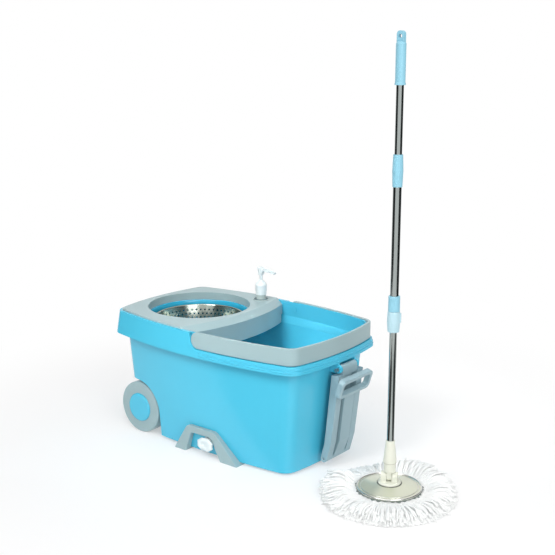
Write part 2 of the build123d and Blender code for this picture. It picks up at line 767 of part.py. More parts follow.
# Drain: eight-sided knob with a plug through the wall, and its seal
knob_back_y = foot_face_y - 8 + seal_thickness
knob_face_y = knob_back_y + knob_depth
with BuildPart() as knob:
    with BuildSketch(bucket_front.offset(knob_back_y)):
        with Locations((drain_x, drain_z)):
            RegularPolygon(knob_radius, knob_sides, rotation=180 / knob_sides)
    extrude(amount=knob_depth)
    chamfer(knob.faces().sort_by(Axis.Y)[0].edges(), knob_edge)
    with BuildSketch(bucket_front.offset(knob_face_y)):
        with Locations((drain_x, drain_z)):
            Circle(knob_dimple_radius)
    extrude(amount=-knob_dish, mode=Mode.SUBTRACT)
    add(rod_along_y(drain_x, drain_z, drain_bore - running_gap, -knob_back_y, -(knob_back_y - 24)))
keep(knob, "drain_knob")
with BuildPart() as seal:
    add(rod_along_y(drain_x, drain_z, drain_boss_radius - 1,
                    -knob_back_y, -(knob_back_y - seal_thickness + 0.3)))
    add(rod_along_y(drain_x, drain_z, drain_bore - running_gap, -200, -100), mode=Mode.SUBTRACT)
keep(seal, "drain_seal")

# Soap pump: a bottle hung in the deck, its screw collar and barrel, and the head that is pressed
soap_x = bucket_x + pump_x
soap_y = bucket_y + pump_y
flange_top = rim_height + bottle_flange
shoulder_top = flange_top + bottle_shoulder
neck_top = shoulder_top + bottle_neck
bottle_floor = rim_height - bottle_depth
with BuildPart() as bottle:
    add(turned(soap_x, soap_y, [
        (0, bottle_floor), (bottle_radius, bottle_floor), (bottle_radius, rim_height),
        (bottle_flange_radius, rim_height), (bottle_flange_radius, flange_top),
        (bottle_shoulder_radius, flange_top), (bottle_shoulder_radius, shoulder_top),
        (bottle_neck_radius, shoulder_top), (bottle_neck_radius, neck_top),
        (bottle_neck_radius - bottle_wall, neck_top), (bottle_neck_radius - bottle_wall, flange_top),
        (bottle_radius - bottle_wall, rim_height - 4),
        (bottle_radius - bottle_wall, bottle_floor + bottle_wall),
        (0, bottle_floor + bottle_wall),
    ]))
keep(bottle, "soap_bottle")
collar_top = rim_height + collar_height
stem_bore = pump_stem_radius + running_gap
with BuildPart() as collar:
    add(turned(soap_x, soap_y, [
        (bottle_neck_radius + 0.2, shoulder_top + 0.2), (collar_ring_radius, shoulder_top + 0.2),
        (collar_ring_radius, shoulder_top + collar_ring), (collar_radius, shoulder_top + collar_ring + 0.6),
        (collar_radius, collar_top - 11), (collar_radius - 1.6, collar_top - 7.5),
        (collar_top_radius + 1, collar_top - 1), (collar_top_radius, collar_top),
        (stem_bore, collar_top), (stem_bore, collar_top - 5), (collar_top_radius - 2, neck_top + 3.2),
        (bottle_neck_radius + 0.2, neck_top + 3.2),
    ]))
keep(collar, "pump_collar")
barrel_foot = neck_top - pump_barrel_depth
piston_foot = neck_top - 22
with BuildPart() as barrel:
    add(turned(soap_x, soap_y, [
        (dip_tube_radius, barrel_foot), (pump_barrel_radius, barrel_foot), (pump_barrel_radius, neck_top),
        (bottle_neck_radius, neck_top), (bottle_neck_radius, neck_top + 3), (stem_bore + 0.6, neck_top + 3),
        (stem_bore + 0.6, neck_top), (pump_barrel_radius - 1.2, neck_top - 2),
        (pump_barrel_radius - 1.2, barrel_foot + 8), (dip_tube_radius, barrel_foot + 8),
    ]))
keep(barrel, "pump_barrel")
with BuildPart() as dip:
    add(tube(soap_x, soap_y, dip_tube_radius - 0.02, dip_tube_radius - 0.9,
             bottle_floor + 4, barrel_foot + 8))
keep(dip, "dip_tube")
head_foot = rim_height + pump_head_foot
head_top = head_foot + pump_head_height
with BuildPart() as head:
    add(turned(soap_x, soap_y, [
        (0, piston_foot), (pump_barrel_radius - 1.2 - running_gap, piston_foot),
        (pump_barrel_radius - 1.2 - running_gap, piston_foot + 4), (pump_stem_radius, piston_foot + 6),
        (pump_stem_radius, head_foot), (pump_head_radius - 2, head_foot), (pump_head_radius, head_top - 4),
        (pump_head_radius, head_top - 1), (pump_head_radius - 1, head_top), (0, head_top),
    ]))
    with BuildSketch(upright(soap_x, soap_y)):
        with BuildLine():
            Polyline(
                (-pump_head_radius - 1, head_top), (pump_head_radius + 4, head_top - 0.5),
                (nozzle_reach - 2, head_top - 7), (nozzle_reach, head_top - 9.5),
                (nozzle_reach - 2, head_top - 13.5), (nozzle_reach - 7, head_top - 13),
                (pump_head_radius + 1, head_top - 9), (pump_head_radius - 3, head_foot),
                (3 - pump_head_radius, head_foot), (-pump_head_radius, head_top - 5), close=True,
            )
        make_face()
    extrude(amount=nozzle_radius, both=True)
keep(head, "pump_head")

# Mop head: yarn, steel disc, clip plate and yoke
mop_x = mop_place[0]
mop_y = mop_place[1]
pull_sweep = sqrt((pull_pivot_x - pull_fold_x) ** 2 + (pull_pivot_z - pull_fold_z) ** 2) + pull_boss_radius
with BuildPart() as yarn:
    add(turned(mop_x, mop_y, [
        (0, 0), (yarn_radius - 6, 0), (yarn_radius, 6), (yarn_radius - 1, yarn_edge_height),
        (yarn_radius - 9, yarn_edge_height + 10), (yarn_crown_radius, yarn_crown_height),
        (disc_radius + 22, yarn_crown_height - 4), (disc_radius + 2.5, yarn_root_height),
        (0, yarn_root_height),
    ]))
    with BuildSketch(mop):
        with PolarLocations(yarn_radius + 2, yarn_lobes):
            Circle(8)
    extrude(amount=2 * yarn_crown_height, mode=Mode.SUBTRACT)
    # the yarn lies lower towards the bucket, under the swing of the pull handle's foot
    with BuildSketch(bucket_front):
        with Locations(Location((pull_pivot_x, pull_pivot_z, 0), (0, 0, yarn_slope))):
            with Locations((0, -pull_sweep - yarn_clearance)):
                Rectangle(900, 300, align=(Align.CENTER, Align.MIN))
    extrude(amount=400, both=True, mode=Mode.SUBTRACT)
keep(yarn, "mop_yarn")
with BuildPart() as disc:
    add(turned(mop_x, mop_y, [
        (disc_radius, disc_edge_z), (disc_radius, disc_edge_z + 2.4), (disc_radius - 3, disc_edge_z + 2.8),
        (disc_crown_radius, disc_crown_z), (disc_hole_radius, disc_crown_z),
        (disc_hole_radius, disc_crown_z - disc_sheet), (disc_crown_radius, disc_crown_z - disc_sheet),
        (disc_radius - 3, disc_edge_z + 1.6), (disc_radius - disc_sheet, disc_edge_z),
    ]))
keep(disc, "mop_disc")
with BuildPart() as clip_plate:
    add(tube(mop_x, mop_y, clip_plate_radius, disc_hole_radius - 3, yarn_root_height + 0.1,
             yarn_root_height + 0.1 + clip_plate_thickness))
keep(clip_plate, "mop_clip_plate")
yoke_top = disc_crown_z + yoke_base_height
with BuildPart() as yoke:
    add(turned(mop_x, mop_y, [
        (0, yarn_root_height + 0.1), (disc_hole_radius - 3.05, yarn_root_height + 0.1),
        (disc_hole_radius - 3.05, yarn_root_height + 0.2 + clip_plate_thickness),
        (disc_hole_radius - 0.1, yarn_root_height + 0.2 + clip_plate_thickness),
        (disc_hole_radius - 0.1, disc_crown_z), (yoke_base_radius, disc_crown_z),
        (yoke_base_radius, disc_crown_z + 2), (yoke_base_radius - 4, yoke_top), (0, yoke_top),
    ]))
    for side in (-1, 1):
        with BuildSketch(mop_across.offset(side * (cheek_gap + cheek_thickness) / 2)):
            with Locations((0, tilt_z)):
                Circle(tilt_knuckle_radius)
                Rectangle(2 * tilt_knuckle_radius, tilt_z - yoke_top + 1, align=(Align.CENTER, Align.MAX))
        extrude(amount=cheek_thickness / 2, both=True)
    with BuildSketch(mop_across):
        with Locations((0, tilt_z)):
            Circle(tilt_pin_radius + 0.02)
    extrude(amount=40, both=True, mode=Mode.SUBTRACT)
keep(yoke, "mop_yoke")
with BuildPart() as tilt_pin:
    with BuildSketch(mop_across):
        with Locations((0, tilt_z)):
            Circle(tilt_pin_radius)
    extrude(amount=cheek_gap / 2 + cheek_thickness, both=True)
keep(tilt_pin, "tilt_pin")

# Socket and lower tube with the drive nut in its top
with BuildPart() as socket:
    with BuildSketch(mop_across):
        with Locations((0, tilt_z)):
            Circle(tilt_knuckle_radius)
            Rectangle(2 * tilt_knuckle_radius, socket_neck_z - tilt_z + 2, align=(Align.CENTER, Align.MIN))
    extrude(amount=cheek_gap / 2 - side_gap, both=True)
    add(turned(mop_x, mop_y, [
        (0, socket_neck_z + 1), (socket_sleeve_radius, socket_neck_z + 1),
        (socket_sleeve_radius, socket_seam_z - 1),
        (socket_wide_radius, socket_seam_z), (socket_wide_radius, socket_seam_z + 6),
        (socket_top_radius, socket_top_z), (0, socket_top_z),
    ]))
    add(tube(mop_x, mop_y, lower_tube_radius, 0, lower_tube_seat_z, mop_top_z), mode=Mode.SUBTRACT)
    with BuildSketch(mop_across):
        with Locations((0, tilt_z)):
            Circle(tilt_pin_radius + running_gap)
    extrude(amount=40, both=True, mode=Mode.SUBTRACT)
keep(socket, "mop_socket")
lower_tube_bore = lower_tube_radius - tube_wall
with BuildPart() as lower:
    add(tube(mop_x, mop_y, lower_tube_radius, lower_tube_bore, lower_tube_seat_z, lower_tube_top_z))
keep(lower, "lower_tube")


def twisted_bar(width, thickness, z_from, z_to):
    """A flat bar twisted one turn in screw_lead: a ruled loft through turned rectangles."""
    steps = max(2, round((z_to - z_from) / screw_lead * 12))
    with BuildPart() as bar:
        for step in range(steps + 1):
            z = z_from + (z_to - z_from) * step / steps
            with BuildSketch(mop.offset(z)):
                Rectangle(width, thickness, rotation=360 * z / screw_lead)
        loft(ruled=True)
    return bar.part


with BuildPart() as screw:
    add(twisted_bar(screw_width, screw_thickness, screw_foot_z, screw_top_z))
keep(screw, "drive_screw")
with BuildPart() as nut:
    add(tube(mop_x, mop_y, lower_tube_bore, 0, lower_tube_top_z - nut_length, lower_tube_top_z))
    add(twisted_bar(screw_width + 2 * slot_gap, screw_thickness + 2 * slot_gap,
                    lower_tube_top_z - 2 * nut_length, lower_tube_top_z + nut_length), mode=Mode.SUBTRACT)
keep(nut, "drive_nut")

# Handle: guide bush, lock collar, middle tube and the plug that holds the screw
middle_bore = middle_tube_radius - tube_wall
with BuildPart() as guide:
    add(tube(mop_x, mop_y, middle_tube_radius + 1.6, lower_tube_radius + running_gap,
             collar_foot_z + 3, middle_tube_foot_z - 0.4))
keep(guide, "guide_bush")
with BuildPart() as lock:
    add(turned(mop_x, mop_y, [
        (lower_tube_radius + 0.6, collar_foot_z), (collar_high_radius, collar_foot_z),
        (collar_low_radius, collar_foot_z + 20), (collar_low_radius - 0.6, collar_seam_z - 2),
        (collar_high_radius, collar_seam_z), (middle_tube_radius + running_gap, collar_seam_z),
        (middle_tube_radius + running_gap, middle_tube_foot_z),
        (middle_tube_radius + 1.9, middle_tube_foot_z),
        (middle_tube_radius + 1.9, collar_foot_z + 2.7), (lower_tube_radius + 0.6, collar_foot_z + 2.7),
    ]))
    with BuildSketch(mop.offset(collar_seam_z - collar_lever_length)):
        with Locations((collar_low_radius - 1, 0)):
            RectangleRounded(5, 9, 2)
        Circle(collar_low_radius - 2, mode=Mode.SUBTRACT)
    extrude(amount=collar_lever_length - 4)
keep(lock, "lock_collar")
with BuildPart() as collar_upper:
    add(tube(mop_x, mop_y, collar_high_radius, middle_tube_radius, collar_seam_z + 0.4, collar_top_z))
    top_edges = collar_upper.edges().filter_by(GeomType.CIRCLE).group_by(Axis.Z)[-1]
    chamfer(top_edges.sort_by(SortBy.RADIUS)[-1], 1)
keep(collar_upper, "collar_upper")
with BuildPart() as middle:
    add(tube(mop_x, mop_y, middle_tube_radius, middle_bore, middle_tube_foot_z, middle_tube_top_z))
keep(middle, "middle_tube")
with BuildPart() as plug:
    add(tube(mop_x, mop_y, middle_bore, 0, screw_top_z, screw_top_z + plug_length))
keep(plug, "screw_plug")

# Length sleeve, upper tube and hand grip
with BuildPart() as sleeve:
    add(turned(mop_x, mop_y, [
        (middle_tube_radius + running_gap, sleeve_foot_z), (sleeve_radius - 1, sleeve_foot_z),
        (sleeve_radius, (sleeve_foot_z + sleeve_top_z) / 2), (sleeve_radius - 1.3, sleeve_top_z),
        (upper_tube_radius + running_gap, sleeve_top_z),
        (upper_tube_radius + running_gap, middle_tube_top_z + 0.4),
        (middle_tube_radius + running_gap, middle_tube_top_z + 0.4),
    ]))
    with BuildSketch(mop.offset(sleeve_foot_z + 8)):
        with PolarLocations(sleeve_radius + 0.3, sleeve_ribs):
            Rectangle(1.6, 1.2)
    extrude(amount=sleeve_top_z - sleeve_foot_z - 16, mode=Mode.SUBTRACT)
keep(sleeve, "length_sleeve")
with BuildPart() as upper:
    add(tube(mop_x, mop_y, upper_tube_radius, upper_tube_radius - tube_wall,
             upper_tube_foot_z, mop_top_z - 40))
keep(upper, "upper_tube")
with BuildPart() as hand_grip:
    add(turned(mop_x, mop_y, [
        (upper_tube_radius, grip_foot_mop_z), (mop_grip_radius + 0.8, grip_foot_mop_z),
        (mop_grip_radius + 0.8, grip_foot_mop_z + 3), (mop_grip_radius, grip_foot_mop_z + 5),
        (mop_grip_radius, mop_top_z - hang_tab_height - 4),
        (mop_grip_radius - 2, mop_top_z - hang_tab_height),
        (0, mop_top_z - hang_tab_height), (0, mop_top_z - 40), (upper_tube_radius, mop_top_z - 40),
    ]))
    with BuildSketch(upright(mop_x, mop_y)):
        with Locations((0, mop_top_z)):
            Rectangle(2 * mop_grip_radius - 4, hang_tab_height + 6, align=(Align.CENTER, Align.MAX))
    extrude(amount=4, both=True)
    fillet(hand_grip.edges().filter_by(Axis.Y).group_by(Axis.Z)[-1], 7)
    with BuildSketch(upright(mop_x, mop_y)):
        with Locations((0, mop_top_z - hang_tab_height / 2)):
            Circle(hang_hole_radius)
    extrude(amount=20, both=True, mode=Mode.SUBTRACT)
keep(hand_grip, "hand_grip")
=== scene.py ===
"""Looks of the spin mop set: moulded bucket, steel basket, and the mop with its loose yarn head.

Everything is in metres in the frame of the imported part. Rigid pieces keep their solids and get
materials; the yarn's plain solid is replaced by its strands.
"""
import json

import bmesh
import bpy
import numpy as np
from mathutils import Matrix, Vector


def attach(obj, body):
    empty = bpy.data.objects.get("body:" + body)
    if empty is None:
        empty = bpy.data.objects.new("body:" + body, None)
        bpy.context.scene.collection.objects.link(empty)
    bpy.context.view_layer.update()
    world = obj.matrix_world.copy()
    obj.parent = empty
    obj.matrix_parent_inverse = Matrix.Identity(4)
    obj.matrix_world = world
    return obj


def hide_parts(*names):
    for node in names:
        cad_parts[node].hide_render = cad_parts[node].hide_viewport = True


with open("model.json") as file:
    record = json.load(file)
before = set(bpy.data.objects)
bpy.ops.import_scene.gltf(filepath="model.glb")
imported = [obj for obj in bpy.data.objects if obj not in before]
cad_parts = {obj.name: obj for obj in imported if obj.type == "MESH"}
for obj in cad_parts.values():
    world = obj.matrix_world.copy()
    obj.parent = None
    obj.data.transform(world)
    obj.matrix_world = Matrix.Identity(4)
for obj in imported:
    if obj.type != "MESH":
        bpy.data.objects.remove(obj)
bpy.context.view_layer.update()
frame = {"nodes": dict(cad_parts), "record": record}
nodes = frame["nodes"]
chance = np.random.default_rng(41)

# Places in the set, in metres: x and y of upright axes, and x and z of the drain's level one
bucket_place = (-0.155, 0.011)
mop_place = (0.307, -0.055)
basket_place = (-0.293, 0.011)
pump_place = (-0.209, 0.146)
drain_place = (bucket_place[0] + 0.026, 0.033)


def linear(code):
    """An sRGB hex colour as linear RGBA."""
    parts = np.array([int(code[i:i + 2], 16) for i in (1, 3, 5)]) / 255
    parts = np.where(parts <= 0.04045, parts / 12.92, ((parts + 0.055) / 1.055) ** 2.4)
    return (*parts.tolist(), 1.0)


def add_node(tree, kind, settings=None, **sockets):
    """Adds a node, sets its properties, and fills or links its inputs by name, or by number as in s0."""
    node = tree.nodes.new(kind)
    for name, value in (settings or {}).items():
        setattr(node, name, value)
    for name, value in sockets.items():
        socket = node.inputs[int(name[1:]) if name[1:].isdigit() else name.replace("_", " ")]
        if isinstance(value, bpy.types.NodeSocket):
            tree.links.new(value, socket)
        else:
            socket.default_value = value
    return node


def new_material(name):
    """A material with only its Principled shader, returned with its tree."""
    material = bpy.data.materials.new(name)
    material.use_nodes = True
    return material, material.node_tree, material.node_tree.nodes["Principled BSDF"]


def moulded_plastic(name, colour, shade, roughness, grain, depth):
    """Injection-moulded plastic: an even colour with a slight drift, and the mould's grain as bump.

    colour and shade are the two ends of the drift, grain is the grain's size in metres and depth
    its height in metres.
    """
    material, tree, shader = new_material(name)
    place = add_node(tree, "ShaderNodeTexCoord").outputs["Object"]
    drift = add_node(tree, "ShaderNodeTexNoise", Vector=place, Scale=7.0, Detail=3.0)
    mixed = add_node(tree, "ShaderNodeMix", {"data_type": "RGBA"}, s0=drift.outputs["Fac"],
                     s6=linear(shade), s7=linear(colour))
    tree.links.new(mixed.outputs[2], shader.inputs["Base Color"])
    grains = add_node(tree, "ShaderNodeTexNoise", Vector=place, Scale=0.5 / grain, Detail=2.0)
    bump = add_node(tree, "ShaderNodeBump", Height=grains.outputs["Fac"], Distance=depth, Strength=1.0)
    tree.links.new(bump.outputs["Normal"], shader.inputs["Normal"])
    rough = add_node(tree, "ShaderNodeMapRange", Value=drift.outputs["Fac"], To_Min=roughness - 0.04,
                     To_Max=roughness + 0.04)
    tree.links.new(rough.outputs["Result"], shader.inputs["Roughness"])
    shader.inputs["IOR"].default_value = 1.49
    return material


def drawn_metal(name, colour, shade, roughness, stretch, depth):
    """Drawn, rolled or pressed metal: fine lines along the way it was worked, as colour and bump.

    stretch scales Object coordinates, in lines per metre along each axis.
    """
    material, tree, shader = new_material(name)
    place = add_node(tree, "ShaderNodeTexCoord").outputs["Object"]
    moved = add_node(tree, "ShaderNodeMapping", Vector=place, Scale=stretch)
    lines = add_node(tree, "ShaderNodeTexNoise", Vector=moved.outputs["Vector"], Scale=1.0, Detail=3.0)
    mixed = add_node(tree, "ShaderNodeMix", {"data_type": "RGBA"}, s0=lines.outputs["Fac"],
                     s6=linear(shade), s7=linear(colour))
    tree.links.new(mixed.outputs[2], shader.inputs["Base Color"])
    shader.inputs["Metallic"].default_value = 1.0
    rough = add_node(tree, "ShaderNodeMapRange", Value=lines.outputs["Fac"], To_Min=roughness * 0.7,
                     To_Max=roughness * 1.3)
    tree.links.new(rough.outputs["Result"], shader.inputs["Roughness"])
    bump = add_node(tree, "ShaderNodeBump", Height=lines.outputs["Fac"], Distance=depth, Strength=0.6)
    tree.links.new(bump.outputs["Normal"], shader.inputs["Normal"])
    return material


def spun_disc_steel(name, colour, shade, centre):
    """Stainless disc finished on a lathe: rings about the mop's axis, 1.6 mm apart so that they show."""
    material, tree, shader = new_material(name)
    place = add_node(tree, "ShaderNodeTexCoord").outputs["Object"]
    moved = add_node(tree, "ShaderNodeMapping", Vector=place, Location=(-centre[0], -centre[1], 0))
    rings = add_node(tree, "ShaderNodeTexWave", {"wave_type": "RINGS", "rings_direction": "Z"},
                     Vector=moved.outputs["Vector"], Scale=200.0, Distortion=1.5, Detail=2.0)
    mixed = add_node(tree, "ShaderNodeMix", {"data_type": "RGBA"}, s0=rings.outputs["Fac"],
                     s6=linear(shade), s7=linear(colour))
    tree.links.new(mixed.outputs[2], shader.inputs["Base Color"])
    shader.inputs["Metallic"].default_value = 0.5
    shader.inputs["Roughness"].default_value = 0.2
    shader.inputs["Anisotropic"].default_value = 0.5
    round_way = add_node(tree, "ShaderNodeTangent", {"direction_type": "RADIAL", "axis": "Z"})
    tree.links.new(round_way.outputs["Tangent"], shader.inputs["Tangent"])
    bump = add_node(tree, "ShaderNodeBump", Height=rings.outputs["Fac"], Distance=0.00001, Strength=0.3)
    tree.links.new(bump.outputs["Normal"], shader.inputs["Normal"])
    return material


def microfibre_yarn(name):
    """Twisted microfibre yarn: matt white and fuzzy, with painted shade between its plies: slightly grey and
    cool where the relief is low.

    Two plies wind once round a strand in 8 mm, as a wave across its UV map. The fibres are drawn
    about 1 mm wide, coarser than real ones, so that they show.
    """
    material, tree, shader = new_material(name)
    ply_scale = (1.257, 18.85, 0.0)
    fibre_scale = (14.0, 90.0, 1.0)
    place = add_node(tree, "ShaderNodeTexCoord").outputs["UV"]
    wound = add_node(tree, "ShaderNodeMapping", Vector=place, Scale=ply_scale)
    plies = add_node(tree, "ShaderNodeTexWave", {"bands_direction": "DIAGONAL"},
                     Vector=wound.outputs["Vector"], Scale=1.0)
    moved = add_node(tree, "ShaderNodeMapping", Vector=place, Scale=fibre_scale)
    fibres = add_node(tree, "ShaderNodeTexNoise", Vector=moved.outputs["Vector"], Scale=1.0, Detail=3.0)
    relief = add_node(tree, "ShaderNodeMath", {"operation": "MULTIPLY_ADD"}, s0=plies.outputs["Fac"],
                      s1=0.6, s2=fibres.outputs["Fac"])
    # Painted shade: the low parts of the relief, between plies and fibres, take the greyer, cooler colour
    mixed = add_node(tree, "ShaderNodeMix", {"data_type": "RGBA"}, s0=relief.outputs["Value"],
                     s6=linear("#ebefef"), s7=linear("#fafbfa"))
    tree.links.new(mixed.outputs[2], shader.inputs["Base Color"])
    shader.inputs["Roughness"].default_value = 0.95
    shader.inputs["Sheen Weight"].default_value = 0.5
    shader.inputs["Sheen Roughness"].default_value = 0.5
    shader.inputs["Subsurface Weight"].default_value = 0.5
    shader.inputs["Subsurface Radius"].default_value = (0.008, 0.008, 0.008)
    bump = add_node(tree, "ShaderNodeBump", Height=relief.outputs["Value"], Distance=0.0006, Strength=0.7)
    tree.links.new(bump.outputs["Normal"], shader.inputs["Normal"])
    return material


# Polypropylene from a polished mould: clear soft highlights, a faint orange peel
sky_blue = moulded_plastic("moulded_polypropylene_sky_blue", "#4dbcda", "#47b6d4", 0.22, 0.004, 0.00002)
# The splash guard: the tub's polypropylene, drawn darker and deeper blue as painted shade under the deck
guard_blue_painted_shade = moulded_plastic("moulded_polypropylene_sky_blue_in_painted_shade", "#2fa6c9", "#2aa0c3", 0.25, 0.004, 0.00002)
# Polypropylene from a spark-eroded mould: a fine matt grain and broad dull highlights
cool_grey = moulded_plastic("moulded_polypropylene_cool_grey", "#98b0b4", "#92aaae", 0.36, 0.0016, 0.00005)
slate_grey = moulded_plastic("moulded_polypropylene_slate_grey", "#94b0b9", "#8da9b2", 0.38, 0.0016, 0.00005)
# Polypropylene of the small mouldings: a smooth, half-gloss skin
white_plastic = moulded_plastic("moulded_polypropylene_white", "#dfe8e9", "#d6e0e2", 0.34, 0.003, 0.00002)
cream_plastic = moulded_plastic("moulded_polypropylene_cream", "#e0e2d5", "#d9dbcd", 0.36, 0.003, 0.00002)
pale_blue = moulded_plastic("moulded_polypropylene_pale_blue", "#8cc2d5", "#86bed1", 0.34, 0.003, 0.00001)
collar_blue = moulded_plastic("moulded_polypropylene_milky_blue", "#b2d2dc", "#abccd7", 0.32, 0.003, 0.00001)
# The line where the socket's two halves meet: duller than its skin, and darker as painted shade of the
# seam's groove
seam_painted_shade = moulded_plastic("parting_line_of_the_socket_painted_shade", "#a3a190", "#989685", 0.6, 0.001, 0.00002)
# Acetal hub and bush: plain, slightly waxy
acetal = moulded_plastic("moulded_acetal", "#cfd8da", "#c6d0d3", 0.42, 0.002, 0.00002)
# Nylon ring under the disc, half gloss: its dark grey is painted shade of the gaps between the yarn's
# bundles under the disc's rim
clip_ring_painted_shade = moulded_plastic("nylon_clip_ring_painted_shade", "#76827e", "#6b7773", 0.35, 0.002, 0.00002)
# Polyethylene of the pump's bottle, whose flange shows round its neck: an even, slightly waxy skin, in a
# grey that paints the shade of the hole round the neck
bottle_plastic = moulded_plastic("blow_moulded_polyethylene_painted_shade", "#b4c2bf", "#a9b8b6", 0.4, 0.003, 0.00002)
# Rubber seals: dull, with almost no highlight
nitrile = moulded_plastic("moulded_nitrile_rubber", "#2a2c2d", "#232526", 0.6, 0.0012, 0.00004)
# The pump's seal ring: its dark blue grey is painted shade of the gap round the pump's flange
pump_seal_painted_shade = moulded_plastic("pump_seal_ring_painted_shade", "#5f7a82", "#56727a", 0.5, 0.0012, 0.00003)
# Stainless steel: a pressed basket and a spun disc with broad soft reflections
basket_steel = drawn_metal("pressed_stainless_basket", "#b4bcb3", "#a5aea5", 0.17, (5, 5, 300), 0.000002)
disc_steel = spun_disc_steel("spun_stainless_disc", "#d8dbc8", "#ced1be", mop_place)
# Bright steel: tubes and a disc rim with sharp reflections, and dull drawn pins
tube_steel = drawn_metal("rolled_bright_tube", "#b3bab8", "#9fa6a4", 0.12, (900, 900, 8), 0.00001)
rim_steel = drawn_metal("polished_disc_rim", "#dfdfdb", "#d2d2ce", 0.08, (80, 80, 900), 0.00001)
pin_steel = drawn_metal("drawn_steel_pin", "#b8b9ba", "#a3a5a6", 0.3, (500, 40, 500), 0.00002)
# Microfibre yarn: matt, with a soft fuzzy edge
yarn_white = microfibre_yarn("looped_microfibre_yarn")

slot_finish = {
    "tub_plastic": sky_blue, "grey_plastic": cool_grey, "pull_plastic": slate_grey, "hub_plastic": acetal,
    "white_plastic": white_plastic, "bottle_plastic": bottle_plastic, "socket_plastic": cream_plastic,
    "grip_plastic": pale_blue, "seal_rubber": nitrile, "steel_wire": pin_steel, "basket_steel": basket_steel,
    "disc_steel": disc_steel, "tube_steel": tube_steel, "yarn": yarn_white,
}
for entry in frame["record"]["subparts"]:
    mesh = nodes[entry["node"]].data
    mesh.materials.clear()
    mesh.materials.append(slot_finish[entry["material_slot"]])
nodes["lock_collar"].data.materials[0] = collar_blue


def grid_piece(name, points, material, body, uv=None, closed_round=True):
    """A piece made of grids: points has shape (pieces, along, around, 3), joined around if asked.

    Points that fall together, at a seam or a closed end, are merged.
    """
    pieces, along, around = points.shape[:3]
    index = np.arange(pieces * along * around).reshape(pieces, along, around)
    beside = np.roll(index, -1, axis=2)
    if not closed_round:
        index, beside = index[:, :, :-1], index[:, :, 1:]
    faces = np.stack([index[:, :-1], index[:, 1:], beside[:, 1:], beside[:, :-1]], axis=-1).reshape(-1, 4)
    mesh = bpy.data.meshes.new(name)
    mesh.from_pydata(points.reshape(-1, 3), [], faces.tolist())
    mesh.polygons.foreach_set("use_smooth", np.ones(len(faces), bool))
    if uv is not None:
        corner = uv.reshape(-1, 2)[faces.reshape(-1)]
        mesh.uv_layers.new(name="along").data.foreach_set("uv", corner.astype(np.float32).reshape(-1))
    mesh.materials.append(material)
    seams = bmesh.new()
    seams.from_mesh(mesh)
    bmesh.ops.remove_doubles(seams, verts=seams.verts, dist=1e-7)
    seams.to_mesh(mesh)
    seams.free()
    piece = bpy.data.objects.new(name, mesh)
    bpy.context.scene.collection.objects.link(piece)
    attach(piece, body)
    return piece


# The pull handle's hinge, its foot's reach from there, the y of the foot's near side, and the room that
# is left under it
hinge_x = bucket_place[0] + 0.296
hinge_height = 0.233
foot_reach = 0.2219
foot_side = bucket_place[1] - 0.05
foot_gap = 0.002

# Lie of the yarn about the mop's axis: the radius at which it starts to rise and the length of its rise,
# the bearings on which it is combed up and lies longer, by what shares, and its bundles of strands
rise_start = 0.0712
rise_run = 0.036
comb_bearing = 2.25
comb_share = 0.28
lean_bearing = 3.82
lean_share = 0.025
bundle_count = 61


def swing_limit(x, y):
    """Height under which the yarn stays where the foot of the pull handle swings over it.

    The foot moves on a circle about its hinge, so the limit is the circle's lower half. Beside the
    foot's path the limit rises by 1.5 for each unit of distance.
    """
    across = x - hinge_x
    low = hinge_height - np.sqrt(np.maximum(foot_reach**2 - across**2, 0)) - foot_gap
    return low + 1.5 * np.maximum(foot_side - y, 0)


def swing_squeeze(x, y, thickness):
    """Share of its height that the yarn keeps, so that its highest strands stay under the swing limit."""
    highest = 0.043
    room = np.maximum(swing_limit(x, y) - thickness, thickness)
    return 1 / (1 + (highest / room) ** 4) ** 0.25


def yarn_rise(radius):
    """Share of its rise that the yarn has made at a radius: a smooth step outward from rise_start."""
    part = np.clip((radius - rise_start) / rise_run, 0, 1)
    return part**2 * (3 - 2 * part)


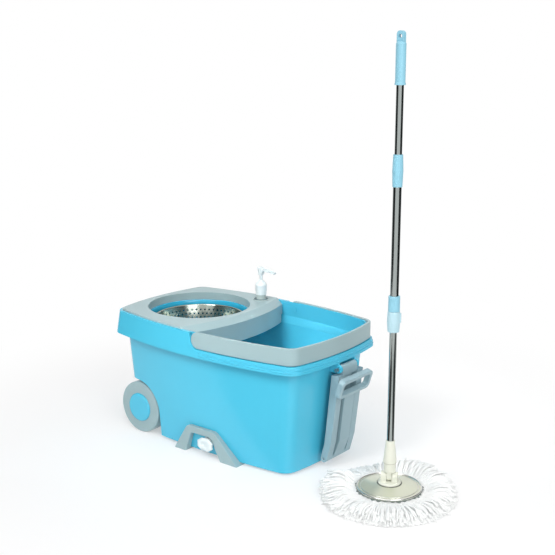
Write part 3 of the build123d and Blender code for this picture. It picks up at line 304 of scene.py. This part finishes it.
def yarn_layer(name, count, root, reach, crown, tip_height, thickness):
    """One layer of yarn: strands that leave from under the disc and lie outward on the floor.

    A strand's path in polar form about the mop's axis: its radius runs from root to its own reach,
    its bearing drifts towards a clump's middle and sways by two sines, and its height rises from
    under the disc to crown and falls to tip_height, squeezed under the swing limit. The head lies a
    little to the bucket's side and is combed up on the far side, each by a cosine of the bearing. The
    section is a circle, drawn in at the tip.
    """
    root_height = 0.0172
    under_disc = 0.0205
    slope_start = 0.116
    unevenness = 0.0014
    along = np.linspace(0, 1, 18)[None, :]
    around = np.linspace(-np.pi / 2, 1.5 * np.pi, 5, endpoint=False)[None, None, :]
    order = np.arange(count)
    bearing = 2 * np.pi * (order + chance.uniform(-0.5, 0.5, count)) / count
    clump = 2 * np.pi * np.round(bearing / (2 * np.pi) * bundle_count) / bundle_count
    clump = clump + 0.03 * np.sin(11 * clump)
    end = chance.uniform(reach[0], reach[1], count)
    end = end * (1 + lean_share * np.cos(bearing - lean_bearing) + 0.01 * np.cos(7 * clump + 1.0))
    end = end * (1 + 0.012 * np.cos(23 * clump))
    radius = root + (end[:, None] - root) * along
    sway = chance.uniform(-1, 1, (2, count))[:, :, None]
    phase = chance.uniform(0, 2 * np.pi, (2, count))[:, :, None]
    drift = 0.5 * (clump - bearing)[:, None] * along
    drift = drift + 0.05 * sway[0] * np.sin(3.5 * along + phase[0]) * along
    drift = drift + 0.025 * sway[1] * np.sin(8 * along + phase[1]) * along
    angle = bearing[:, None] + drift
    size = thickness * chance.uniform(0.85, 1.15, count)[:, None]
    x = mop_place[0] + radius * np.cos(angle)
    y = mop_place[1] + radius * np.sin(angle)
    rise = yarn_rise(radius)
    upward_comb = np.cos(angle - comb_bearing)
    combed = crown * (1 + comb_share * upward_comb + 0.06 * np.cos(13 * clump)[:, None])
    start = np.minimum(crown, root_height)
    height = start + (combed - start) * rise
    slope_run = end[:, None] - 0.112
    fall = np.clip((radius - slope_start) / slope_run, 0, 1)
    tip_level = tip_height * (1 + 0.45 * upward_comb)
    height = height + (tip_level - height) * fall**1.6
    height = height + unevenness * np.sin(7 * along + phase[1]) * along
    height = height + chance.uniform(-unevenness, unevenness, (count, 1)) * rise
    height = np.minimum(height, under_disc - size + 0.04 * rise)
    height = height * swing_squeeze(x, y, size)
    height = np.maximum(height, size * 1.05)
    tip = np.clip((along - 0.9) / 0.1, 0, 1)
    taper = size * np.sqrt(1 - tip**2) * (along > 0)
    path = np.stack([x, y, height], axis=-1)
    tangent = np.gradient(path, axis=1)
    tangent /= np.linalg.norm(tangent, axis=-1, keepdims=True)
    sideways = np.cross(tangent, np.array([0.0, 0.0, 1.0]))
    sideways /= np.linalg.norm(sideways, axis=-1, keepdims=True)
    upward = np.cross(sideways, tangent)
    turned = np.cos(around)[..., None] * sideways[:, :, None, :]
    turned = turned + np.sin(around)[..., None] * upward[:, :, None, :]
    points = path[:, :, None, :] + taper[:, :, None, None] * turned
    uv = np.stack(np.broadcast_arrays(
        around / (2 * np.pi), along[:, :, None] * 0.8 + order[:, None, None] * 0.37,
    ), axis=-1)
    piece = grid_piece(name, points, yarn_white, "mop_head", uv)
    return piece


def yarn_bed():
    """The thick of the yarn under its outer strands: a closed section carried round the mop's axis.

    The section's top rises from under the disc to a crown and falls to the floor at its edge, with
    the strands' own combing, and waves round the axis as bundles of strands do; its bottom is flat.
    """
    bed_edge = 0.138
    slope_start = 0.110
    root_height = 0.0145
    edge_height = 0.0035
    least = 0.003
    floor_gap = 0.0012
    turn = np.linspace(0, 2 * np.pi, 489)[:, None]
    out = np.linspace(0.050, bed_edge, 26)[None, :]
    rise = yarn_rise(out)
    bundle = np.cos(bundle_count * turn + 1.5 * np.sin(9 * turn) + 25 * (out - 0.09))
    crown = 0.0225 * (1 + comb_share * np.cos(turn - comb_bearing)) + 0.0013 * bundle
    height = root_height + (crown - root_height) * rise
    fall = np.clip((out - slope_start) / (bed_edge - slope_start), 0, 1)
    height = height + (edge_height - height) * fall**2.2
    reach = out * (1 + (lean_share * np.cos(turn - lean_bearing) + 0.012 * bundle * fall) * rise)
    x = mop_place[0] + reach * np.cos(turn)
    y = mop_place[1] + reach * np.sin(turn)
    height = height * swing_squeeze(x, y, least)
    top = np.stack([x, y, np.maximum(height, least)], axis=-1)
    bottom = np.stack([x, y, np.full_like(x, floor_gap)], axis=-1)
    points = np.concatenate([bottom, top[:, ::-1]], axis=1)[None]
    points[0, -1] = points[0, 0]
    span = np.linspace(0, 2, points.shape[2])[None, :]
    uv = np.stack(np.broadcast_arrays(turn * 3, span), axis=-1)[None]
    piece = grid_piece("yarn_bed", points, yarn_white, "mop_head", uv)


yarn_bed()
# For each layer: how many strands, radius at their roots, reach, height at the crown and at the tips, and
# half their thickness
yarn_layer("yarn_under", 170, 0.050, (0.133, 0.147), 0.0050, 0.0030, 0.0024)
yarn_layer("yarn_lower", 180, 0.051, (0.132, 0.147), 0.0105, 0.0055, 0.0024)
yarn_layer("yarn_middle", 190, 0.052, (0.131, 0.147), 0.0160, 0.0085, 0.0024)
yarn_layer("yarn_upper", 200, 0.053, (0.129, 0.147), 0.0210, 0.0120, 0.0024)
yarn_top = yarn_layer("yarn_top", 200, 0.054, (0.126, 0.146), 0.0258, 0.0165, 0.0023)
yarn_layer("yarn_crest", 190, 0.054, (0.120, 0.144), 0.0302, 0.0220, 0.0022)
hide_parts("mop_yarn")


def rim_path(grow, corner, start):
    """The tub's outline round its water end, moved out by grow, from start on one side to the other.

    Two bowed sides and a bowed end, joined by corner arcs; each point is on the arc that its
    bearing falls in. Returns points and their outward directions.
    """
    half_length = 0.269 + grow
    half_width = 0.148 + grow
    side_bow = 0.032
    end_bow = 0.018
    side_radius = (half_length * half_length + side_bow**2) / (2 * side_bow)
    end_radius = (half_width * half_width + end_bow**2) / (2 * end_bow)
    side_centre = np.array([0, half_width + side_bow - side_radius])
    end_centre = np.array([half_length + end_bow - end_radius, 0])
    between = end_centre - side_centre
    span = np.linalg.norm(between)
    along = ((side_radius - corner) ** 2 - (end_radius - corner) ** 2 + span**2) / (2 * span)
    off = np.sqrt((side_radius - corner) ** 2 - along**2)
    way = between / span
    centre = side_centre + way * along + np.array([way[1], -way[0]]) * off
    from_side = np.arctan2(*(centre - side_centre)[::-1])
    from_end = np.arctan2(*(centre - end_centre)[::-1])
    first = np.arccos(start / side_radius)
    side = np.linspace(first, from_side, 60)
    round_corner = np.linspace(from_side, from_end, 16)[1:]
    end = np.linspace(from_end, 0, 40)[1:]
    bearing = np.concatenate([side, round_corner, end])
    middle = np.concatenate([
        np.tile(side_centre, (len(side), 1)), np.tile(centre, (len(round_corner), 1)),
        np.tile(end_centre, (len(end), 1)),
    ])
    reach = np.concatenate([
        np.full(len(side), side_radius), np.full(len(round_corner), corner), np.full(len(end), end_radius),
    ])
    outward = np.stack([np.cos(bearing), np.sin(bearing)], axis=-1)
    points = middle + reach[:, None] * outward
    mirror = np.array([1, -1])
    points = np.concatenate([points, points[-2::-1] * mirror])
    outward = np.concatenate([outward, outward[-2::-1] * mirror])
    return points + np.array(bucket_place), outward


def rim_bead(name, path, radius, height, section):
    """A half-round bead carried along a path on the tub's rim, drawn to a point at both ends.

    section holds the half circle's bearings, measured from outward to upward.
    """
    points, outward = path
    swell = np.full(len(points), radius)
    swell[[0, -1]] = 0
    out = swell[:, None] * np.cos(section)
    flat = points[:, None, :] + out[..., None] * outward[:, None, :]
    level = height + swell[:, None] * np.sin(section)
    grid = np.concatenate([flat, level[..., None]], axis=-1)[None]
    grid_piece(name, grid[:, ::-1], sky_blue, "bucket")


# Two fine ridges round the flange under the carry handle. The flange flares out by 7 mm over 54 mm, so
# a ridge's path grows with its depth.
rim_height = 0.300
ridge_sink = 0.0002
bead_radius = 0.0014
for number, ridge_height in enumerate((0.2570, 0.2515), 1):
    flare = 0.007 * (rim_height - ridge_height) / 0.054 - ridge_sink
    ridge_path = rim_path(flare, 0.029 + flare, 0.03)
    outer_half = np.linspace(-np.pi / 2, np.pi / 2, 9)
    rim_bead(f"flange_ridge_{number}", ridge_path, bead_radius, ridge_height, outer_half)
# The rounded top of the tub's wall inside the carry handle
wall_path = rim_path(-0.0074, 0.0296, 0.036)
upper_half = np.linspace(0, np.pi, 11)
rim_bead("wall_top_round", wall_path, bead_radius, 0.2999, upper_half)


def ring_about(place, name, profile, material, body):
    """A ring about an upright axis at place: a closed (radius, height) profile carried round a circle."""
    turn = np.linspace(0, 2 * np.pi, 97)
    radius, height = np.array(profile).T
    x = place[0] + np.cos(turn)[:, None] * radius
    y = place[1] + np.sin(turn)[:, None] * radius
    grid = np.stack([x, y, np.broadcast_to(height, x.shape)], axis=-1)
    grid[-1] = grid[0]
    grid_piece(name, grid[None], material, body)


def round_section(radius, height, thickness):
    """Twelve points of a small circle at (radius, height), for a bead."""
    turn = np.linspace(0, 2 * np.pi, 12, endpoint=False)
    return np.stack([radius + thickness * np.cos(turn), height + thickness * np.sin(turn)], axis=-1)


def flat_section(inner, outer, low, high, bevel):
    """Points of a bevelled rectangle from inner to outer radius and from low to high."""
    return [
        (outer, low + bevel), (outer, high - bevel), (outer - bevel, high), (inner + bevel, high),
        (inner, high - bevel), (inner, low + bevel), (inner + bevel, low), (outer - bevel, low),
    ]


# Beads on the disc's rim and step, the socket's seam, darkened as painted shade of its groove, and a dark
# bead in the rubber finish round the yoke's base, which paints the shade there
ring_about(mop_place, "disc_rim_bead", round_section(0.0670, 0.0237, 0.0019), rim_steel,
           "mop_head")
ring_about(mop_place, "disc_step_bead", round_section(0.0605, 0.0253, 0.0007), rim_steel,
           "mop_head")
ring_about(mop_place, "socket_seam", round_section(0.0130, 0.0774, 0.0005), seam_painted_shade,
           "mop_shaft")
# Dark bead round the yoke's base: painted shade, in the rubber finish
ring_about(mop_place, "yoke_painted_shade_bead", round_section(0.0251, 0.0321, 0.0009), nitrile,
           "mop_head")


def clip_teeth():
    """Teeth of the ring that clips the yarn under the disc: a thin band carried round the mop's axis. Its
    dark grey paints the shade of the gaps between the yarn's bundles.

    The band leans out over the yarn. Its edge waves by a raised cosine, one wave for each tooth, and
    the teeth grow and shrink nine times round the axis.
    """
    teeth = 34
    thickness = 0.0008
    turn = np.linspace(0, 2 * np.pi, teeth * 8 + 1)[:, None]
    tooth = 0.2 + 0.5 * (0.5 + 0.5 * np.cos(teeth * turn + np.sin(3 * turn))) * (1.4 + np.cos(9 * turn))
    outer = np.array([0.0, 1.0, 1.0, 0.0])[None, :]
    under = np.array([1.0, 1.0, 0.0, 0.0])[None, :]
    radius = 0.0680 + 0.0040 * tooth * outer
    height = 0.0222 - 0.0018 * tooth * outer - thickness * under
    x = mop_place[0] + radius * np.cos(turn)
    y = mop_place[1] + radius * np.sin(turn)
    grid = np.stack([x, y, height], axis=-1)[None]
    grid[0, -1] = grid[0, 0]
    grid_piece("clip_teeth", grid, clip_ring_painted_shade, "mop_head")


clip_teeth()
# Splash guard under the deck's opening, in a darker blue that paints the shade under the deck, and the ring
# that seals the pump's flange, dark as painted shade of the gap round it
ring_about(basket_place, "basket_guard", flat_section(0.1200, 0.1262, 0.2660, 0.2851, 0.0008), guard_blue_painted_shade,
           "bucket")
ring_about(pump_place, "pump_gasket", flat_section(0.0118, 0.0180, 0.3054, 0.3062, 0.0003), pump_seal_painted_shade,
           "bucket")


def drain_knob_face():
    """The drain knob's wide face: an oblong with eight soft corners, dished in the middle.

    Each ring is a superellipse of power 2.3 with half axes of 22.5 and 15 mm, waved eight times round.
    rings gives each one's scale and its depth, from the back of the face to the dish in its front.
    """
    turn = np.linspace(0, 2 * np.pi, 65)
    rings = np.array([
        (0.0, -0.1594), (0.96, -0.1594), (1.0, -0.1604), (1.0, -0.1632), (0.94, -0.1650), (0.78, -0.1664),
        (0.50, -0.1666), (0.42, -0.1650), (0.34, -0.1634), (0.0, -0.1632),
    ])
    power = 2 / 2.3
    corners = 1 - 0.045 * np.cos(8 * turn)
    wide = 0.0225 * corners * np.sign(np.cos(turn)) * np.abs(np.cos(turn)) ** power
    tall = 0.0150 * corners * np.sign(np.sin(turn)) * np.abs(np.sin(turn)) ** power
    x = drain_place[0] + rings[:, 0] * wide[:, None]
    z = drain_place[1] + rings[:, 0] * tall[:, None]
    y = bucket_place[1] + np.broadcast_to(rings[:, 1], x.shape)
    points = np.stack([x, y, z], axis=-1)
    points[-1] = points[0]
    piece = grid_piece("drain_knob_face", points[None], white_plastic, "drain", closed_round=False)


drain_knob_face()


# Floor and soft light
def background_rays(tree):
    """1 for a ray from the camera, a reflection or a refraction, which see the white background, else 0."""
    rays = add_node(tree, "ShaderNodeLightPath")
    sharp = add_node(tree, "ShaderNodeMath", {"operation": "MAXIMUM"}, s0=rays.outputs["Is Glossy Ray"],
                     s1=rays.outputs["Is Transmission Ray"])
    seen = add_node(tree, "ShaderNodeMath", {"operation": "MAXIMUM"}, s0=rays.outputs["Is Camera Ray"],
                    s1=sharp.outputs["Value"])
    return seen.outputs["Value"]


def floor_finish():
    """White studio sweep: it takes the set's shadow near by and turns to plain white further off."""
    material, tree, shader = new_material("studio_floor")
    shader.inputs["Base Color"].default_value = linear("#fbfbfb")
    shader.inputs["Roughness"].default_value = 0.9
    place = add_node(tree, "ShaderNodeTexCoord").outputs["Object"]
    length = add_node(tree, "ShaderNodeVectorMath", {"operation": "LENGTH"}, s0=place)
    far = add_node(tree, "ShaderNodeMapRange", {"interpolation_type": "SMOOTHSTEP"},
                   Value=length.outputs["Value"], From_Min=0.5, From_Max=1.2, To_Min=0.4)
    shown = add_node(tree, "ShaderNodeMath", {"operation": "MULTIPLY"}, s0=far.outputs["Result"],
                     s1=background_rays(tree))
    white = add_node(tree, "ShaderNodeEmission", Color=(1, 1, 1, 1), Strength=1.0)
    both = add_node(tree, "ShaderNodeMixShader", s0=shown.outputs["Value"], s1=shader.outputs["BSDF"],
                    s2=white.outputs["Emission"])
    tree.links.new(both.outputs["Shader"], tree.nodes["Material Output"].inputs["Surface"])
    return material


def flat_card(name, corners, material):
    """One flat four-cornered face of the studio."""
    mesh = bpy.data.meshes.new(name)
    mesh.from_pydata(corners, [], [(0, 1, 2, 3)])
    mesh.materials.append(material)
    card = bpy.data.objects.new(name, mesh)
    bpy.context.scene.collection.objects.link(card)
    return card


floor_half = 6
floor_corners = [(x * floor_half, y * floor_half, 0) for x, y in ((-1, -1), (1, -1), (1, 1), (-1, 1))]
flat_card("studio_floor", floor_corners, floor_finish())

world = bpy.data.worlds.new("studio")
bpy.context.scene.world = world
world.use_nodes = True
sky = world.node_tree
level = add_node(sky, "ShaderNodeMapRange", Value=background_rays(sky), To_Min=0.66, To_Max=1.0)
sky.nodes["Background"].inputs["Color"].default_value = (1, 1, 1, 1)
sky.links.new(level.outputs["Result"], sky.nodes["Background"].inputs["Strength"])


def soft_box(name, place, target, size, power, spread=np.pi):
    """A square area lamp at place that faces target, with its light kept within spread."""
    lamp = bpy.data.lights.new(name, "AREA")
    lamp.shape = "SQUARE"
    lamp.size = size
    lamp.energy = power
    lamp.spread = spread
    holder = bpy.data.objects.new(name, lamp)
    holder.location = place
    holder.rotation_euler = (Vector(target) - Vector(place)).to_track_quat("-Z", "Y").to_euler()
    bpy.context.scene.collection.objects.link(holder)


# Broad lamps in front, to the right and above, one on the bucket's front, and one into its tub
soft_box("key_box", (0.3, -2.8, 1.7), (-0.1, 0, 0.25), 1.6, 7)
soft_box("fill_box", (2.4, -1.4, 1.7), (0.1, 0, 0.3), 1.6, 37)
soft_box("top_box", (0.1, -0.7, 2.7), (0, 0, 0.1), 2.0, 13)
soft_box("front_box", (-0.1, -1.1, 1.3), (-0.1, 0.17, 0.24), 0.5, 0.95, 0.75)
soft_box("tub_box", (0.05, -0.7, 1.6), (-0.03, 0.10, 0.18), 0.06, 0.105, 0.17)

# Level directions across the camera's view and along it, and the dark of the cards that steel reflects
view_across = np.array([0.777, 0.629])
view_along = np.array([-0.629, 0.777])
dark_card, _, dark_shader = new_material("studio_dark_card")
dark_shader.inputs["Base Color"].default_value = linear("#1c2022")


def reflected_card(name, corners):
    """A dark card that only reflections see, so that it stays out of the picture, shadows and soft light."""
    card = flat_card(name, corners, dark_card)
    card.visible_camera = False
    card.visible_diffuse = False
    card.visible_shadow = False


def dark_board(name, sideways):
    """A tall board beside the set, sideways of its middle across the view, for the tubes' dark bands."""
    near, far, top = -1.6, 1.2, 1.8
    foot = view_across * sideways
    corners = ((near, 0.0), (far, 0.0), (far, top), (near, top))
    reflected_card(name, [(*(foot + view_along * d), h) for d, h in corners])


def dark_mat(name, near_side, far_side):
    """A mat on the floor beside the mop, from near_side to far_side across the view, for its lower tube."""
    near, far, lift = -0.9, 0.1, 0.0004
    middle = np.array(mop_place)
    corners = ((near_side, near), (far_side, near), (far_side, far), (near_side, far))
    reflected_card(name, [(*(middle + view_across * s + view_along * d), lift) for s, d in corners])


dark_board("dark_board_left", -1.5)
dark_board("dark_board_right", 1.5)
dark_mat("dark_mat_left", -0.9, -0.22)
dark_mat("dark_mat_right", 0.22, 1.2)

# Camera at the photograph's angle, from a fit whose focal length is in the picture's own points
picture_width = 555
focal_length = 1000
camera = bpy.data.cameras.new("camera")
camera.sensor_width = 36
camera.lens = 36 * focal_length / picture_width
camera.clip_end = 50
eye = bpy.data.objects.new("camera", camera)
eye.location = (1.34575, -1.70780, 0.92220)
eye.rotation_euler = Vector((-0.6132, 0.7567, -0.2265)).to_track_quat("-Z", "Y").to_euler()
bpy.context.scene.collection.objects.link(eye)
bpy.context.scene.camera = eye
bpy.context.scene.view_settings.view_transform = "Standard"
